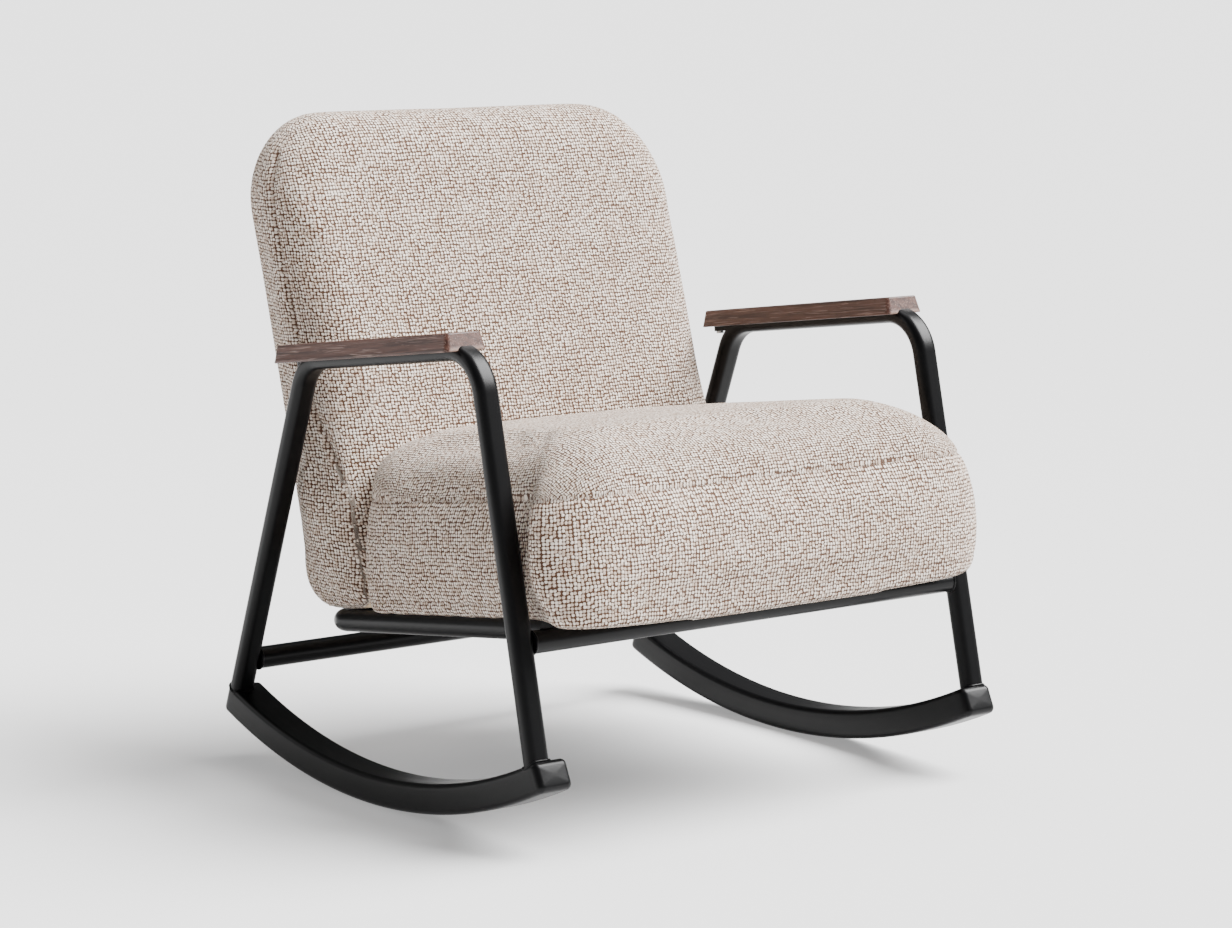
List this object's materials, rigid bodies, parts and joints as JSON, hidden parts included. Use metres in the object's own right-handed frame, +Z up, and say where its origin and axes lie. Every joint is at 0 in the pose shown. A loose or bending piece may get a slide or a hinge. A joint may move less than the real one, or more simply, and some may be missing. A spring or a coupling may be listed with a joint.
{
  "type": "rocking chair",
  "caption": "Upholstered lounge rocking chair with bent black tube side frames, curved runners, wooden arm pads, a boxed seat cushion and a reclined padded back.",
  "frame": {"origin": "on the floor, under the middle of the chair's overall box", "axes": "+Z up, the chair faces -Y, its right side as sat in is -X"},
  "size_m": [0.674, 0.675, 0.757],
  "materials": {
    "black_steel": "satin",
    "stained_oak": "satin",
    "plywood": "matte",
    "boucle": "matte",
    "foam": "matte",
    "webbing": "matte",
    "lining": "matte",
    "zinc_steel": "satin"
  },
  "bodies": {
    "root": {"arm_pad_left": "stained_oak", "arm_pad_right": "stained_oak", "arm_screws_left": "zinc_steel", "arm_screws_right": "zinc_steel", "arm_tab_left": "black_steel", "arm_tab_right": "black_steel", "back_bracket_left": "zinc_steel", "back_bracket_right": "zinc_steel", "back_cover": "boucle", "back_foam": "foam", "back_frame": "plywood", "back_webbing": "webbing", "bracket_screws": "zinc_steel", "deck_screws": "zinc_steel", "dust_cover": "lining", "front_tube": "black_steel", "rail_strut_left": "black_steel", "rail_strut_right": "black_steel", "rail_tabs": "black_steel", "rear_stretcher": "black_steel", "runner_caps_left": "black_steel", "runner_caps_right": "black_steel", "runner_left": "black_steel", "runner_right": "black_steel", "seat_board": "plywood", "seat_cover": "boucle", "seat_foam": "foam", "seat_rails": "black_steel", "seat_webbing": "webbing", "side_frame_left": "black_steel", "side_frame_right": "black_steel"}
  },
  "joints": []
}
